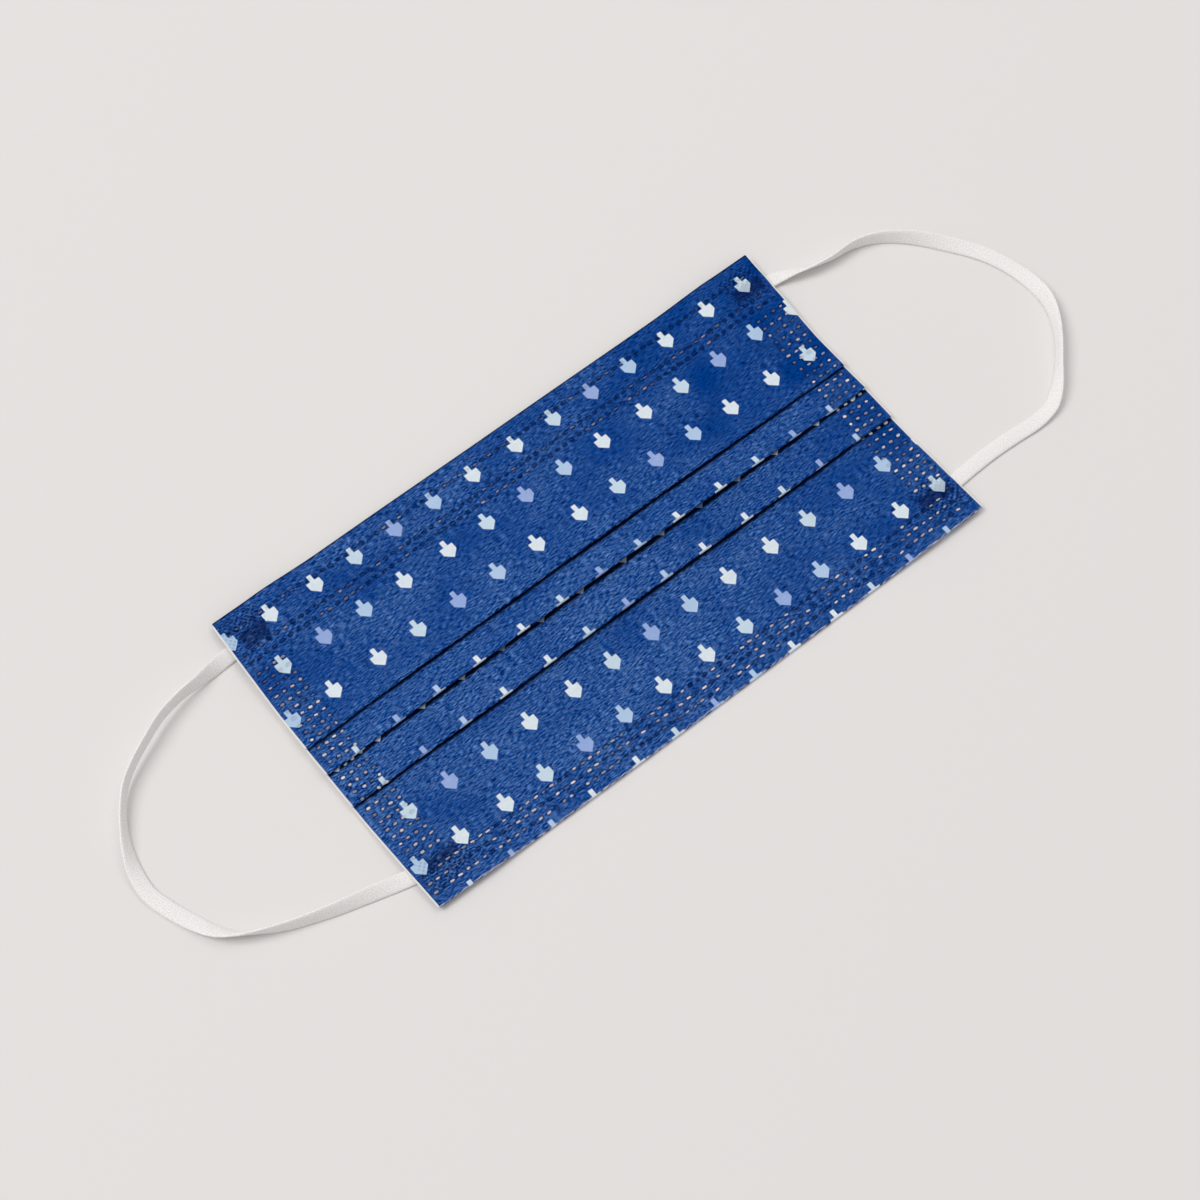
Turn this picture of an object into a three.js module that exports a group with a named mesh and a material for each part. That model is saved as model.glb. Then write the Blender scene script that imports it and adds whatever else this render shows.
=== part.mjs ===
// Pleated surgical face mask lying flat, printed side up, with its two elastic ear loops.
// Millimetres, +Z up. The origin is under the middle of the mask, on the surface that it lies on.
// +X runs along the nose edge and +Y points to the nose edge.
import * as THREE from 'three';

// Driving dimensions
const MASK_LENGTH = 175;
const MASK_HEIGHT = 95;
const CHIN_BELLY = 0.85; // how far the chin edge bows out between the side welds
const SIDE_DRIFT = 1.15; // how far the cloth has slid towards -X at half height
const PLY = 0.45; // one ply of nonwoven
const PLY_GAP = 0.1; // between the printed ply and the inner ply
const PLEAT_GAP = 0.3; // between the layers of a pleat
const PLEAT_LOFT = 1.5; // how far the fullest pleat stands open in the middle
const NOSE_HEM = 16.5;
const CHIN_HEM = 10;
const HEM_EASE = 3; // length over which the cloth comes down from a hem
const WIRE_LENGTH = 105;
const WIRE_WIDTH = 3;
const WIRE_THICKNESS = 0.4;
const WIRE_INSET = 8.7; // from the nose edge to the middle of the wire
const WIRE_CLEARANCE = 0.15; // on each side of the wire in its channel
const LOOP_WIDTH = 4.3;
const LOOP_THICKNESS = 1;
const LOOP_CLEARANCE = 0.3; // between the loops' ends and the back of the mask
const FLOOR_CLEARANCE = 0.05; // under the loops

const FOLD_STEPS = 6;
const LAYER_STEPS = 2;
const LOOP_STEPS = 2; // for each stretch between two points of a loop's route

// Knife pleats from the nose edge down.
// lip: place of the visible fold, as a share of the mask's height
// depth: how far the hidden layer runs back, as a share of the strip that covers it
// opening: how far the lip stands open in the middle, as a share of the pleat loft
const PLEATS = [
  { lip: 0.457, depth: 0.243, opening: 0.65 },
  { lip: 0.544, depth: 0.975, opening: 1.0 },
  { lip: 0.654, depth: 0.945, opening: 0.6 },
];

// Cross sections from the middle to a side edge, mirrored to the other side.
// along: place, as a share of half the mask's length
// loft: how far the pleats stand open there, as a share of their opening
// lift: how far the cloth rides up over the loops' ends, as a share of the full rise
const SECTIONS = [
  { along: 0, loft: 1, lift: 0 },
  { along: 0.2, loft: 0.96, lift: 0 },
  { along: 0.4, loft: 0.84, lift: 0 },
  { along: 0.62, loft: 0.55, lift: 0 },
  { along: 0.75, loft: 0.22, lift: 0.5 },
  { along: 0.86, loft: 0, lift: 1 },
  { along: 1, loft: 0, lift: 1 },
];

// Routes of the ear loops, from the weld at the nose corner to the weld at the chin corner.
// Columns: x, y, tilt of the band in degrees, lift of its lower edge off the surface.
const LEFT_ROUTE = [
  [-77.3, 38, 0, 0],
  [-82.5, 38.1, 0, 0],
  [-88.2, 37.9, 0, 0],
  [-93.5, 37.4, -30, 0],
  [-98.6, 37, -60, 0.6],
  [-105, 36.5, -75, 1.3],
  [-111.7, 34.6, -80, 1.7],
  [-117.6, 32, -82, 1.7],
  [-123.8, 28.9, -82, 1.3],
  [-129.1, 25.3, -80, 0.7],
  [-133.1, 20.6, -68, 0.2],
  [-136.1, 15.8, -45, 0],
  [-138.1, 10.9, -22, 0],
  [-139, 5.2, -8, 0],
  [-138.7, -0.3, -4, 0],
  [-137.6, -6.3, 0, 0],
  [-135.4, -11.9, 6, 0],
  [-132.7, -17.6, 28, 0],
  [-129.8, -21.4, 50, 0],
  [-127, -23.5, 60, 0],
  [-122.8, -25.8, 60, 0],
  [-117.8, -28, 50, 0],
  [-112.3, -29.8, 38, 0],
  [-106.4, -31.4, 24, 0],
  [-100.4, -32.9, 12, 0],
  [-94.4, -34.5, 4, 0],
  [-88.6, -36.1, 0, 0],
  [-82.5, -37.5, 0, 0],
  [-77.3, -38.4, 0, 0],
];
const RIGHT_ROUTE = [
  [77.3, 37.9, 0, 0],
  [83.5, 38.1, 0, 0],
  [89.6, 37.8, 0, 0],
  [95.3, 36.2, -8, 0],
  [100.4, 34.6, -25, 0],
  [106.4, 33.3, -40, 0],
  [112.8, 32.3, -42, 0],
  [119.3, 30.4, -34, 0],
  [125, 27, -24, 0],
  [130, 22.5, -14, 0],
  [134.5, 17.6, -6, 0],
  [138.4, 12, 0, 0],
  [141.3, 6.1, 2, 0],
  [143.2, 0.1, 8, 0],
  [144, -6.3, 25, 0],
  [143.4, -12.5, 48, 0],
  [140.8, -18.6, 66, 0],
  [136.9, -24.2, 74, 0],
  [132, -29.5, 70, 0],
  [127.4, -33.9, 48, 0],
  [122.8, -36.9, 24, 0],
  [116.8, -37.8, 6, 0],
  [109.7, -37.4, 0, 0],
  [102.7, -37.1, 0, 0],
  [96, -37.2, 0, 0],
  [89.6, -37.6, 0, 0],
  [83.5, -38.1, 0, 0],
  [77.3, -38.5, 0, 0],
];

// Values that follow from the sizes above.
const LAMINATE = 2 * PLY + PLY_GAP;
const LAYER_PITCH = LAMINATE + PLEAT_GAP;
const FOLD_RADIUS = LAYER_PITCH / 2;
const PLY_OFFSET = (PLY_GAP + PLY) / 2; // from the middle of the laminate to the middle of a ply
const BASE = PLY + PLY_GAP / 2; // middle of the laminate where it lies on the surface
const WIRE_CHANNEL = WIRE_THICKNESS + 2 * WIRE_CLEARANCE;
const NOSE_LEVEL = PLY + WIRE_CHANNEL + BASE;
const CHIN_LEVEL = PLY + PLY_GAP + BASE;
const END_RISE = LOOP_THICKNESS + FLOOR_CLEARANCE + LOOP_CLEARANCE;
const TOP_Y = (MASK_HEIGHT + CHIN_BELLY) / 2;

// Distance from a hemmed edge to the point where the printed ply leaves its turn.
const hemTurn = (level) => (level + PLY_OFFSET) / 2 + PLY / 4;

const lerp = THREE.MathUtils.lerp;

// Splits a stretch of the section into equal steps, without its first point.
function steps(from, to, count) {
  return Array.from({ length: count }, (_, i) => lerp(from, to, (i + 1) / count));
}

// Half turn from one layer to the next one. side is +1 where it bulges to the chin and -1 to the nose.
function halfTurn(from, to, side) {
  const middle = [(from[0] + to[0]) / 2, (from[1] + to[1]) / 2];
  const arm = [from[0] - middle[0], from[1] - middle[1]];
  const reach = [side * Math.abs(arm[1]), -side * Math.sign(arm[1]) * arm[0]];
  return steps(0, Math.PI, FOLD_STEPS).slice(0, -1).map((angle) => [
    middle[0] + arm[0] * Math.cos(angle) + reach[0] * Math.sin(angle),
    middle[1] + arm[1] * Math.cos(angle) + reach[1] * Math.sin(angle),
  ]);
}

// Slope of a layer at one place.
function slope(layer, d) {
  const reach = FOLD_RADIUS / 2;
  return (layer(d + reach) - layer(d - reach)) / (2 * reach);
}

// How far a half turn's two ends are set apart along the section, so that it leaves both layers squarely.
function setBack(layer, d, distance) {
  const s = slope(layer, d);
  return (distance * s) / (1 + s * s);
}

// Height of the laminate's middle over the surface, layer by layer, for one cross section.
// Each strip lies on the pleat below it, and the last one lies on the surface.
function pleatLayers(height, loft) {
  const lips = PLEATS.map((pleat) => pleat.lip * MASK_HEIGHT);
  const folds = PLEATS.map((pleat, k) => lips[k] - pleat.depth * (lips[k] - (k ? lips[k - 1] : 0)));
  const hemStart = height - CHIN_HEM;
  let strip = (d) => {
    const share = THREE.MathUtils.clamp((d - hemStart + HEM_EASE) / HEM_EASE, 0, 1);
    return lerp(BASE, CHIN_LEVEL, share);
  };
  const pleats = [];
  for (let k = PLEATS.length - 1; k >= 0; k -= 1) {
    const under = strip;
    const fold = folds[k];
    const opening = PLEATS[k].opening * PLEAT_LOFT * loft;
    const back = (d) => under(d) + LAYER_PITCH + opening * ((d - fold) / (lips[k] - fold));
    const start = k ? folds[k - 1] : NOSE_HEM;
    const startLevel = k ? BASE : NOSE_LEVEL;
    strip = (d) => {
      if (d >= fold) return back(d) + LAYER_PITCH;
      return lerp(startLevel, back(fold) + LAYER_PITCH, Math.max(0, (d - start) / (fold - start)));
    };
    pleats.unshift({ fold, lip: lips[k], strip, back, under });
  }
  return pleats;
}

// Middle line of the laminate from the nose edge to the chin edge: [distance from the nose edge, height].
function middleLine(height, loft) {
  const pleats = pleatLayers(height, loft);
  const line = [[hemTurn(NOSE_LEVEL), NOSE_LEVEL], [NOSE_HEM / 2, NOSE_LEVEL], [NOSE_HEM, NOSE_LEVEL]];
  const follow = (layer, from, to, count) => {
    for (const d of steps(from, to, count)) line.push([d, layer(d)]);
  };
  for (const { fold, lip, strip, back, under } of pleats) {
    const lipStart = lip - FOLD_RADIUS;
    const lipEnd = lipStart + setBack(back, lipStart, LAYER_PITCH);
    const foldEnd = fold + FOLD_RADIUS;
    const foldStart = foldEnd - setBack(under, foldEnd, LAYER_PITCH);
    const last = line[line.length - 1][0];
    follow(strip, last, fold, LAYER_STEPS);
    follow(strip, fold, lipStart, LAYER_STEPS);
    line.push(...halfTurn([lipStart, strip(lipStart)], [lipEnd, back(lipEnd)], 1));
    line.push([lipEnd, back(lipEnd)]);
    follow(back, lipEnd, foldStart, LAYER_STEPS);
    line.push(...halfTurn([foldStart, back(foldStart)], [foldEnd, under(foldEnd)], -1));
    line.push([foldEnd, under(foldEnd)]);
  }
  const chin = pleats[pleats.length - 1].under;
  const lastLip = pleats[pleats.length - 1].lip;
  follow(chin, line[line.length - 1][0], lastLip, 2);
  follow(chin, lastLip, height - CHIN_HEM - HEM_EASE, 2);
  follow(chin, height - CHIN_HEM - HEM_EASE, height - CHIN_HEM, 1);
  follow(chin, height - CHIN_HEM, height - hemTurn(CHIN_LEVEL), 2);
  return line;
}

// Line at a set distance from another one, on its printed side where the distance is positive.
function offsetLine(line, distance) {
  const normal = (a, b) => {
    const run = Math.hypot(b[0] - a[0], b[1] - a[1]);
    return [-(b[1] - a[1]) / run, (b[0] - a[0]) / run];
  };
  return line.map((point, i) => {
    const before = normal(line[Math.max(i - 1, 0)], line[Math.max(i, 1)]);
    const after = normal(line[Math.min(i, line.length - 2)], line[Math.min(i + 1, line.length - 1)]);
    const scale = distance / (1 + before[0] * after[0] + before[1] * after[1]);
    return [point[0] + (before[0] + after[0]) * scale, point[1] + (before[1] + after[1]) * scale];
  });
}

// The printed ply's line, with both hems turned to the back.
function outerLine(height, loft) {
  const front = offsetLine(middleLine(height, loft), PLY_OFFSET);
  const level = PLY / 2;
  const noseBack = [front[0][0], level];
  const chinBack = [front[front.length - 1][0], level];
  return [
    [NOSE_HEM, level],
    noseBack,
    ...halfTurn(noseBack, front[0], -1),
    ...front,
    ...halfTurn(front[front.length - 1], chinBack, 1),
    chinBack,
    [height - CHIN_HEM, level],
  ];
}

// The inner ply's line, which starts and ends inside the hems.
function innerLine(height, loft) {
  const line = offsetLine(middleLine(height, loft), -PLY_OFFSET);
  line[0][0] += PLY_GAP;
  line[line.length - 1][0] -= PLY_GAP;
  return line;
}

// Place of a point of the mask: share of the half length, distance from the nose edge, height.
function place(along, d, z, height) {
  const fromMiddle = (2 * d) / height - 1;
  const drift = SIDE_DRIFT * (0.5 - (1 - fromMiddle * fromMiddle));
  return new THREE.Vector3((along * MASK_LENGTH) / 2 + drift, TOP_Y - d, z);
}

// Closed body through rings of equal length. Each ring goes out along one side and back along the other.
function loftBody(rings) {
  const size = rings[0].length;
  const index = [];
  const quad = (a, b, c, d) => index.push(a, b, c, a, c, d);
  for (let r = 0; r < rings.length - 1; r += 1) {
    for (let i = 0; i < size; i += 1) {
      const next = (i + 1) % size;
      quad(r * size + i, r * size + next, (r + 1) * size + next, (r + 1) * size + i);
    }
  }
  const last = (rings.length - 1) * size;
  for (let i = 0; i < size / 2 - 1; i += 1) {
    const across = size - 1 - i;
    quad(i, across, across - 1, i + 1);
    quad(last + i, last + i + 1, last + across - 1, last + across);
  }
  const geometry = new THREE.BufferGeometry();
  const positions = rings.flat().flatMap((point) => point.toArray());
  geometry.setAttribute('position', new THREE.Float32BufferAttribute(positions, 3));
  geometry.setIndex(index);
  geometry.computeVertexNormals();
  return geometry;
}

// One ply, lofted through the cross sections from the left edge to the right edge.
function plyGeometry(lineOf) {
  const left = SECTIONS.slice(1).reverse().map((row) => ({ ...row, along: -row.along }));
  const rings = [...left, ...SECTIONS].map(({ along, loft, lift }) => {
    const height = MASK_HEIGHT + CHIN_BELLY * (1 - along * along);
    const line = lineOf(height, loft);
    const outline = [...offsetLine(line, PLY / 2), ...offsetLine(line, -PLY / 2).reverse()];
    return outline.map(([d, z]) => place(along, d, z + lift * END_RISE, height));
  });
  return loftBody(rings);
}

// The nose wire, a flat strip in the channel of the nose hem.
function noseWireGeometry() {
  const geometry = new THREE.BoxGeometry(WIRE_LENGTH, WIRE_WIDTH, WIRE_THICKNESS);
  const centre = place(0, WIRE_INSET, PLY + WIRE_CHANNEL / 2, MASK_HEIGHT);
  return geometry.translate(centre.x, centre.y, centre.z);
}

// Outline of the flat elastic band: across its width, then through its thickness.
function bandOutline() {
  const half = LOOP_WIDTH / 2;
  const face = half - LOOP_THICKNESS / 3;
  const top = LOOP_THICKNESS / 2;
  const side = LOOP_THICKNESS / 4;
  const upper = [[half, side], [face, top], [-face, top], [-half, side]];
  return [...upper, ...upper.map(([across, up]) => [across, -up]).reverse()];
}

// One ear loop: the band swept along its route, tilted and lifted as the route says.
function loopGeometry(route) {
  const path = new THREE.CatmullRomCurve3(route.map(([x, y]) => new THREE.Vector3(x, y, 0)));
  const pose = new THREE.CatmullRomCurve3(route.map(([, , tilt, lift]) => new THREE.Vector3(tilt, lift, 0)));
  const outline = bandOutline();
  const count = (route.length - 1) * LOOP_STEPS;
  const rings = Array.from({ length: count + 1 }, (_, i) => {
    const along = i / count;
    const tangent = path.getTangent(along);
    const across = new THREE.Vector3(-tangent.y, tangent.x, 0);
    const { x: tilt, y: lift } = pose.getPoint(along);
    const angle = THREE.MathUtils.degToRad(tilt);
    const ring = outline.map(([u, v]) => [
      u * Math.cos(angle) - v * Math.sin(angle),
      u * Math.sin(angle) + v * Math.cos(angle),
    ]);
    const lowest = Math.min(...ring.map(([, up]) => up));
    const centre = path.getPoint(along);
    return ring.map(([out, up]) => {
      const point = centre.clone().addScaledVector(across, out);
      return point.setZ(up - lowest + Math.max(lift, 0) + FLOOR_CLEARANCE);
    });
  });
  return loftBody(rings);
}

// Finishes
const PRINTED_NONWOVEN = { color: 0x0b4288, roughness: 0.85, metalness: 0 };
const WHITE_NONWOVEN = { color: 0xf2f1ee, roughness: 0.9, metalness: 0 };
const COATED_WIRE = { color: 0xe8e8e6, roughness: 0.5, metalness: 0 };
const WHITE_ELASTIC = { color: 0xefeceb, roughness: 0.8, metalness: 0 };

const group = new THREE.Group();

function addPiece(name, geometry, finish) {
  const mesh = new THREE.Mesh(geometry, new THREE.MeshStandardMaterial(finish));
  mesh.name = name;
  group.add(mesh);
}

addPiece('outer_ply', plyGeometry(outerLine), PRINTED_NONWOVEN);
addPiece('inner_ply', plyGeometry(innerLine), WHITE_NONWOVEN);
addPiece('nose_wire', noseWireGeometry(), COATED_WIRE);
addPiece('ear_loop_left', loopGeometry(LEFT_ROUTE), WHITE_ELASTIC);
addPiece('ear_loop_right', loopGeometry(RIGHT_ROUTE), WHITE_ELASTIC);

export default group;
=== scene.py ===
"""Looks of a pleated surgical face mask that lies flat, printed side up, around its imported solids."""
import math

import bpy
import numpy as np
from mathutils import Matrix, Vector


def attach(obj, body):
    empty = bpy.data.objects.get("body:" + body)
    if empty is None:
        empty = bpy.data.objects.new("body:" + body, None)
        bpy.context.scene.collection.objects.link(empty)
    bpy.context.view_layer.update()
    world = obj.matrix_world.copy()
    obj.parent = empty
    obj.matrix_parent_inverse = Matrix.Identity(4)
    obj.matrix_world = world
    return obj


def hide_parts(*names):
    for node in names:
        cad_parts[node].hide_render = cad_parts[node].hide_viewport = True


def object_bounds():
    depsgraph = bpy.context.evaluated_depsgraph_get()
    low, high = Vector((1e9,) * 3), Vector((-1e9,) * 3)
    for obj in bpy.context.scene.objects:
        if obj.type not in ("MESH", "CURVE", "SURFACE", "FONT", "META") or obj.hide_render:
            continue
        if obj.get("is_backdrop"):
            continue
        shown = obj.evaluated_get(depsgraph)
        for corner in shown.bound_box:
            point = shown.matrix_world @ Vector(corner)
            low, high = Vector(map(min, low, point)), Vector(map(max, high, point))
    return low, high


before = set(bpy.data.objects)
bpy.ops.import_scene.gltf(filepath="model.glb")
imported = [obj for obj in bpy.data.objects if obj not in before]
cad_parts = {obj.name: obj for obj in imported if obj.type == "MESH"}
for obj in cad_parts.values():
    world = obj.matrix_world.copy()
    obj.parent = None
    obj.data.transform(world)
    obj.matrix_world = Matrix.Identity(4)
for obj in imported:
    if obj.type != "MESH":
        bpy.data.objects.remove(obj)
cad_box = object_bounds()

MM = 0.001

# Camera, lights and floor
CAMERA_PLACE = Vector((-0.19788, -0.23541, 0.66307))
CAMERA_TARGET = Vector((-0.00519, -0.00684, 0.0))
CAMERA_ROLL = math.radians(1.723)
CAMERA_LENS = 85.59
CAMERA_SENSOR = 36
FLOOR_SIZE = 6.0
FLOOR_COLOUR = (0.80, 0.78, 0.77, 1)
KEY_PLACE = Vector((-1.9, 1.7, 3.8))
KEY_SIZE = 2.4
KEY_POWER = 96
FILL_PLACE = Vector((1.5, 0.5, 2.6))
FILL_SIZE = 1.6
FILL_POWER = 12
SKY_COLOUR = (1.0, 0.985, 0.975, 1)
SKY_STRENGTH = 0.5

# Sizes of the folded cloth
MASK_LENGTH = 176 * MM
MASK_HEIGHT = 95.3 * MM
CHIN_BELLY = 0.55 * MM
CHIN_TILT = 0.72 * MM
SIDE_DRIFT = 1.15 * MM
PLY = 0.25 * MM
PLY_GAP = 0.05 * MM
PLEAT_GAP = 0.05 * MM
PLEAT_LOFT = 1.4 * MM
NOSE_HEM = 16.5 * MM
CHIN_HEM = 10 * MM
HEM_EASE = 3 * MM
WIRE_CHANNEL = 0.85 * MM
END_RISE = 1.35 * MM

# How the cloth is shaped beyond its plain sections
LOFT_END = 0.86  # share of the half length where the pleats lie closed
LOFT_POWER = 2.6
LOFT_EASE = 1.2
RISE_START = 0.62  # share of the half length where the ends start to ride up
PRESS_START = 0.82  # share of the half length where the welds start to press the cloth
PRESS_END = 0.885
PRESSED = 0.75  # share of its thickness that the welded cloth keeps
SAG = 0.75 * MM  # of the ends between the two loops
SAG_REACH = 31 * MM
CROWN = 0.5 * MM  # of each strip between its fold and its lip
WAVE = 0.35 * MM
# Two waves of the whole cloth. Columns: turns along X and Y in radians for each metre, and phase.
LONG_WAVE_X = (62, 0.6)
LONG_WAVE_Y = (48, -0.4)
CROSS_WAVE = (113, 71, 2.1)
CROSS_WAVE_SHARE = 0.6
CHANNEL_PUFF = 0.28 * MM  # of the printed ply over the wire's channel
CHANNEL_RISE = (5.1 * MM, 7.5 * MM)  # where that swell starts and is full, from the nose edge
CHANNEL_FALL = (10 * MM, 12.4 * MM)  # where it ends
EDGE_SHOW = 0.4 * MM  # how far the white ply stands out past the printed one at the side edges

CLOTH_STEP = 1.1 * MM
TURN_STEPS = 8
TURN_EASE = 0.12 * MM  # length of the last step before a lip, so that shading turns only at the fold
CROSS_SECTIONS = 125
CLOTH_SHARP = math.radians(50)
BAND_SHARP = math.radians(60)

# Knife pleats from the nose edge down: lip as a share of the height, depth as a share of the strip
# that covers it, and how far the lip and the hidden fold stand open, as shares of the pleat loft
PLEATS = (
    {"lip": 0.4412, "depth": 0.257, "opening": 0.5, "spring": 0.7},
    {"lip": 0.5319, "depth": 0.924, "opening": 0.95, "spring": 0.3},
    {"lip": 0.6413, "depth": 0.885, "opening": 0.65, "spring": 0.3},
)

LAYER_PITCH = 2 * PLY + PLY_GAP + PLEAT_GAP
FOLD_RADIUS = LAYER_PITCH / 2
PLY_OFFSET = (PLY_GAP + PLY) / 2
BASE = PLY + PLY_GAP / 2
NOSE_LEVEL = PLY + WIRE_CHANNEL + BASE
CHIN_LEVEL = PLY + PLY_GAP + BASE
TOP_Y = (MASK_HEIGHT + CHIN_BELLY) / 2
CHIN_Y = TOP_Y - MASK_HEIGHT
HALF_LENGTH = MASK_LENGTH / 2

# Print, in millimetres of cloth from the nose edge and from the middle
PRINT_ROW = 13.3
PRINT_TOP = 3.97
PRINT_PERIOD = 64.5
PRINT_START = 29.6
PRINT_SKEW = 0.0148
PRINT_PLACES = (0, 12.6, 25.3, 39.3, 51.8, 64.5)
MOTIF_STEM = 1.28
MOTIF_STEM_HEIGHT = 1.9
MOTIF_BODY = 3.95
MOTIF_HEIGHT = 5.85
MOTIF_POINT = 1.9

# Welds: rows of dashes in the hems, columns of them at the sides, and the pressed corners
NOSE_WELDS = (5.1 * MM, 12.4 * MM, 15.0 * MM)  # from the nose edge
CHIN_WELDS = (3.3 * MM, 5.85 * MM, 8.4 * MM)  # from the chin edge
HEM_PITCH = 2.44 * MM
LEFT_WELDS = (-84.4 * MM, -81.95 * MM, -79.5 * MM, -77.0 * MM)
RIGHT_WELDS = (77.9 * MM, 80.5 * MM, 83.0 * MM, 85.5 * MM)
SIDE_PITCH = 2.54 * MM
SIDE_START = -33.9 * MM
LEFT_STEP = (-0.05 * MM, 2.505 * MM)
LEFT_START = -33.3 * MM
CHIN_ROWS_LIFT = (0.4 * MM, 0.22 * MM)  # of the chin rows' left and right ends
SIDE_COUNT = 26
SIDE_MIDDLE = -2  # middle of the side welds, in millimetres
SIDE_REACH = (33.5, 32.5)  # how far they reach from it
HEM_DASH = (1.3 * MM, 0.56 * MM)
SIDE_DASH = (1.1 * MM, 0.66 * MM)
DASH_RIM = 0.12 * MM
DASH_COLLAR = 0.26 * MM
DASH_DEPTH = 0.08 * MM
DASH_SIDES = 10
DASH_JITTER = 0.17 * MM
DASH_CORNER = 0.6
DASH_LEAN = 0.18
DASH_LEAST = (0.7, 0.7, 0.8)  # share of its size that the smallest dash keeps
DASH_MOST = (1.12, 1.15, 1.2)
DASH_REACH = 0.8  # how far its dent reaches in the cloth, in millimetres
LEAST_FACING = 0.8  # cloth that faces up less than this gets no dash
HEM_ROW_MARGIN = 5 * MM
GLOWS = {  # how bright the film is that shows in the dashes, from the dullest to the brightest
    "nose_welds": (-1.3, 0.7),
    "chin_welds": (-0.6, 1.0),
    "left_welds": (0.1, 1.0),
    "right_welds": (0.1, 1.0),
}
SEEDS = {"nose_welds": 3, "chin_welds": 4, "left_welds": 5, "right_welds": 6}
RAY_HEIGHT = 0.05

# How deep the painted shade reaches in the creases behind the lips, in millimetres of cloth past each lip
CREASE_DARK = (-0.1, 0.75)
CREASE_SETS = (0.5, 1.0, 0.8)  # what the folds' round turns add to the cloth by each lip

# Pressed corners: middle and half sizes, in millimetres
PATCHES = (
    (-80.1, 38.8, 3.8, 2.5),
    (81.8, 38.7, 4.5, 2.0),
    (-78.6, -37.2, 4.2, 1.5),
    (80.9, -37.7, 4.8, 1.8),
)
KNURLS = (
    (-81.2, 42.4, 6.0, 4.0),
    (81.6, 40.6, 5.2, 4.8),
    (-79.3, -39.4, 6.2, 4.6),
    (81.0, -38.4, 5.8, 5.0),
)
PATCH_EDGE = 1.3
KNURL_EDGE = 1.8
PRESS_WOBBLE = 1.6
KNURL_ACROSS = 4.4  # radians for each millimetre
KNURL_DOWN = (0.8, 4.1)

# Elastic
BAND_WIDTH = 4.3 * MM
BAND_THICKNESS = 1.0 * MM
BAND_ROUNDING = 2.6
BAND_SIDES = 20
BAND_SECTIONS = 179
FLOOR_CLEARANCE = 0.05 * MM
STITCH_COLUMN = 0.62  # millimetres
STITCH_COURSE = 0.72
STITCH_SLANT = 0.9

# Routes of the ear loops, from the weld at the nose corner to the weld at the chin corner.
# Columns: x and y in metres, tilt of the band in degrees, lift of its lower edge in metres.
LEFT_ROUTE = (
    (-0.0773, 0.0380, 0, 0),
    (-0.0825, 0.0381, 0, 0),
    (-0.0877, 0.0388, -8, 0),
    (-0.0934, 0.0380, -42, 0),
    (-0.0986, 0.0371, -66, 0.0006),
    (-0.1050, 0.0363, -77, 0.0013),
    (-0.1117, 0.0346, -80, 0.0017),
    (-0.1176, 0.0320, -82, 0.0017),
    (-0.1238, 0.0289, -82, 0.0013),
    (-0.1291, 0.0253, -80, 0.0007),
    (-0.1331, 0.0206, -76, 0.0002),
    (-0.1361, 0.0157, -68, 0),
    (-0.1383, 0.0107, -50, 0),
    (-0.1399, 0.0052, -22, 0),
    (-0.1403, -0.0005, -6, 0),
    (-0.1387, -0.0066, 0, 0),
    (-0.1364, -0.0123, -6, 0),
    (-0.1334, -0.0181, -32, 0),
    (-0.1301, -0.0218, -58, 0),
    (-0.1273, -0.0239, -74, 0),
    (-0.1231, -0.0263, -90, 0),
    (-0.1182, -0.0285, -103, 0),
    (-0.1127, -0.0304, -112, 0),
    (-0.1069, -0.0321, -123, 0),
    (-0.1009, -0.0335, -137, 0),
    (-0.0947, -0.0349, -155, 0),
    (-0.0887, -0.0363, -173, 0),
    (-0.0825, -0.0375, -180, 0),
    (-0.0773, -0.0384, -180, 0),
)
RIGHT_ROUTE = (
    (0.0773, 0.0379, 180, 0),
    (0.0835, 0.0381, 180, 0),
    (0.0900, 0.0379, 170, 0),
    (0.0952, 0.0362, 142, 0),
    (0.0998, 0.0343, 120, 0),
    (0.1058, 0.0329, 103, 0),
    (0.1128, 0.0324, 88, 0),
    (0.1191, 0.0304, 76, 0),
    (0.1246, 0.0268, 65, 0),
    (0.1296, 0.0222, 48, 0),
    (0.1340, 0.0172, 28, 0),
    (0.1381, 0.0118, 14, 0),
    (0.1412, 0.0061, 10, 0),
    (0.1432, -0.0001, 10, 0),
    (0.1440, -0.0063, 25, 0),
    (0.1434, -0.0125, 48, 0),
    (0.1408, -0.0186, 66, 0),
    (0.1369, -0.0242, 74, 0),
    (0.1320, -0.0295, 70, 0),
    (0.1274, -0.0339, 48, 0),
    (0.1228, -0.0369, 24, 0),
    (0.1168, -0.0378, 6, 0),
    (0.1097, -0.0374, 0, 0),
    (0.1027, -0.0371, 0, 0),
    (0.0960, -0.0372, 0, 0),
    (0.0896, -0.0376, 0, 0),
    (0.0835, -0.0381, 0, 0),
    (0.0773, -0.0385, 0, 0),
)


# Node trees written as expressions

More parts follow.
